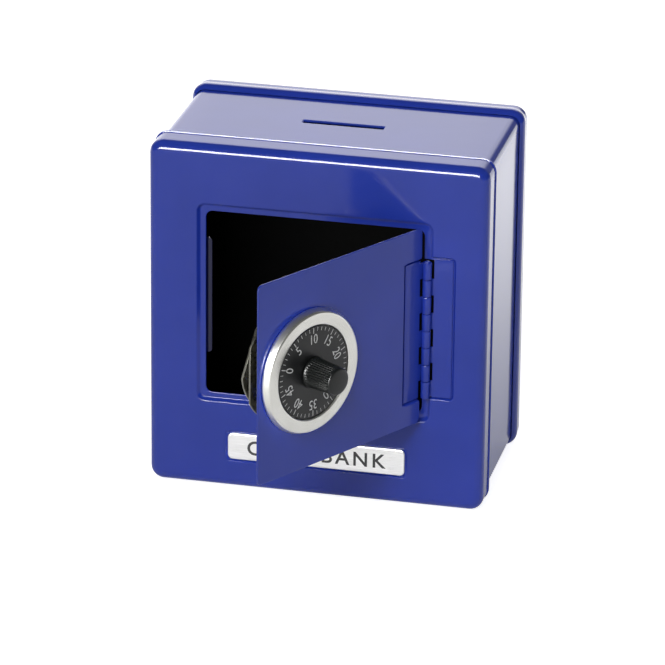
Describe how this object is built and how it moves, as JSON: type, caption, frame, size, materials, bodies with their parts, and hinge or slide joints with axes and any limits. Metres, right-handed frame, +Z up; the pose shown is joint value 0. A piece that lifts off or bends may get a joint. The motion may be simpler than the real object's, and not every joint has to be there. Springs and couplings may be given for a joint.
{
  "type": "toy safe coin bank",
  "caption": "Painted tin money box shaped like a safe, with a coin slot in its top and a hinged front door that carries a numbered combination dial and stacked lock discs.",
  "frame": {"origin": "on the table, under the middle of the front face, where the front face's plane meets the table", "axes": "+X to the right seen from the front, +Y to the back, +Z up"},
  "size_m": [0.151, 0.1753, 0.16],
  "materials": {
    "blue_enamel": "glossy stoved enamel",
    "plate_metal": "pale satin with bright bevelled edge",
    "bezel_metal": "satin face, bright turned side",
    "plated_steel": "dull zinc plate",
    "brass": "plain turned",
    "dial_black": "satin black with white figures",
    "knob_black": "knurled side, smooth end"
  },
  "bodies": {
    "cabinet": {"body_sleeve": "blue_enamel", "front_panel": "blue_enamel", "rear_panel": "blue_enamel", "strike_bracket": "blue_enamel", "name_plate": "plate_metal", "hinge_leaf_frame": "blue_enamel", "hinge_pin": "blue_enamel"},
    "door": {"door_panel": "blue_enamel", "hinge_leaf_door": "blue_enamel", "dial_bezel": "bezel_metal", "bezel_screw_1": "plated_steel", "bezel_screw_2": "plated_steel", "bezel_screw_3": "plated_steel", "spindle_bush": "brass", "bush_nut": "plated_steel"},
    "dial": {"dial_disc": "dial_black", "dial_knob": "knob_black", "spindle": "plated_steel", "spacer_front": "brass", "spacer_middle": "brass", "spacer_rear": "brass", "wheel_drive": "plated_steel", "spring_washer": "plated_steel", "spindle_nut": "plated_steel"},
    "middle_disc": {"wheel_middle": "plated_steel"},
    "front_disc": {"wheel_front": "plated_steel"}
  },
  "joints": [
    {"name": "door_hinge", "type": "hinge", "parent": "cabinet", "child": "door", "pos_m": [0.04905, -0.001, 0.0844], "axis": [0, 0, 1], "range_deg": [-58.64, 116]},
    {"name": "dial_spin", "type": "hinge", "parent": "door", "child": "dial", "pos_m": [0.01153, -0.06257, 0.0864], "axis": [0.8539, -0.5204, 0], "continuous": true},
    {"name": "middle_disc_spin", "type": "hinge", "parent": "door", "child": "middle_disc", "pos_m": [0.01153, -0.06257, 0.0864], "axis": [0.8539, -0.5204, 0], "continuous": true},
    {"name": "front_disc_spin", "type": "hinge", "parent": "door", "child": "front_disc", "pos_m": [0.01153, -0.06257, 0.0864], "axis": [0.8539, -0.5204, 0], "continuous": true}
  ],
  "couplings": [
    {"joint": "middle_disc_spin", "follows": "dial_spin", "ratio": 1},
    {"joint": "front_disc_spin", "follows": "dial_spin", "ratio": 1}
  ]
}
